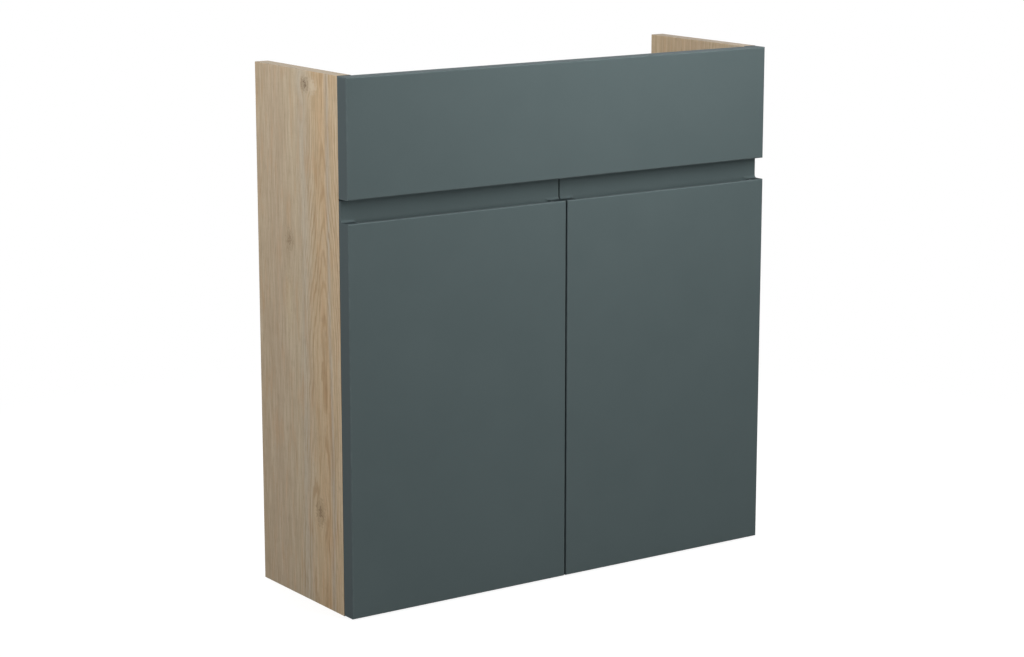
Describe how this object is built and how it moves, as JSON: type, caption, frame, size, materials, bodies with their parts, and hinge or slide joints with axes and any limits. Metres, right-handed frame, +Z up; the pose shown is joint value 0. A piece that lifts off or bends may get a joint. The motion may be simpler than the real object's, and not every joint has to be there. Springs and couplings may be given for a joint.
{
  "type": "slim vanity unit",
  "caption": "Slim open-topped bathroom vanity carcass with oak-faced sides, a fixed fascia and doors opened by a finger groove, on concealed hinges; hangs on a wall and takes a slim basin.",
  "frame": {"origin": "middle of the overall width and depth, on the underside of the side panels", "axes": "+Z up, the doors and fascia face -Y, +Y points to the wall, +X to the right of someone facing the doors"},
  "size_m": [0.6, 0.205, 0.624],
  "materials": {
    "oak_faced_chipboard": "light oak printed facing, fine vertical grain, matt",
    "grey_green_matt_front": "matt grey-green lacquer on fibreboard",
    "beech_dowel": "fluted beech",
    "clear_rubber_buffer": "translucent soft buffer",
    "nickel_plated_steel": "nickel plated pressed steel",
    "bright_steel_pin": "ground steel",
    "zinc_plated_screw": "bright zinc plated",
    "zinc_plated_peg": "zinc plated"
  },
  "bodies": {
    "carcass": {"bottom_panel": "oak_faced_chipboard", "fascia": "grey_green_matt_front", "fascia_screws": "zinc_plated_screw", "front_rail": "oak_faced_chipboard", "hanging_rail": "oak_faced_chipboard", "left_arm_pins": "bright_steel_pin", "left_arm_screws": "zinc_plated_screw", "left_dowels": "beech_dowel", "left_lower_hinge_arm": "nickel_plated_steel", "left_lower_hinge_plate": "nickel_plated_steel", "left_plate_screws": "zinc_plated_screw", "left_shelf_pegs": "zinc_plated_peg", "left_side_panel": "oak_faced_chipboard", "left_upper_hinge_arm": "nickel_plated_steel", "left_upper_hinge_plate": "nickel_plated_steel", "lower_rail": "oak_faced_chipboard", "right_arm_pins": "bright_steel_pin", "right_arm_screws": "zinc_plated_screw", "right_dowels": "beech_dowel", "right_lower_hinge_arm": "nickel_plated_steel", "right_lower_hinge_plate": "nickel_plated_steel", "right_plate_screws": "zinc_plated_screw", "right_shelf_pegs": "zinc_plated_peg", "right_side_panel": "oak_faced_chipboard", "right_upper_hinge_arm": "nickel_plated_steel", "right_upper_hinge_plate": "nickel_plated_steel", "shelf": "oak_faced_chipboard"},
    "left_links": {"left_lower_hinge_link": "nickel_plated_steel", "left_upper_hinge_link": "nickel_plated_steel"},
    "right_links": {"right_lower_hinge_link": "nickel_plated_steel", "right_upper_hinge_link": "nickel_plated_steel"},
    "left_door": {"left_door": "grey_green_matt_front", "left_door_bumpers": "clear_rubber_buffer", "left_lower_hinge_cup": "nickel_plated_steel", "left_upper_hinge_cup": "nickel_plated_steel", "left_cup_pins": "bright_steel_pin", "left_cup_screws": "zinc_plated_screw"},
    "right_door": {"right_door": "grey_green_matt_front", "right_door_bumpers": "clear_rubber_buffer", "right_lower_hinge_cup": "nickel_plated_steel", "right_upper_hinge_cup": "nickel_plated_steel", "right_cup_pins": "bright_steel_pin", "right_cup_screws": "zinc_plated_screw"}
  },
  "joints": [
    {"name": "left_door_swing", "type": "hinge", "parent": "left_links", "child": "left_door", "pos_m": [-0.2935, -0.0868, 0.24], "axis": [0, 0, -1], "range_deg": [0, 131.25]},
    {"name": "left_link_swing", "type": "hinge", "parent": "carcass", "child": "left_links", "pos_m": [-0.27, -0.0818, 0.24], "axis": [0, 0, -1], "range_deg": [-26.25, 0]},
    {"name": "right_door_swing", "type": "hinge", "parent": "right_links", "child": "right_door", "pos_m": [0.2935, -0.0868, 0.24], "axis": [0, 0, 1], "range_deg": [0, 131.25]},
    {"name": "right_link_swing", "type": "hinge", "parent": "carcass", "child": "right_links", "pos_m": [0.27, -0.0818, 0.24], "axis": [0, 0, 1], "range_deg": [-26.25, 0]}
  ],
  "couplings": [
    {"joint": "left_link_swing", "follows": "left_door_swing", "ratio": -0.2},
    {"joint": "right_link_swing", "follows": "right_door_swing", "ratio": -0.2}
  ]
}
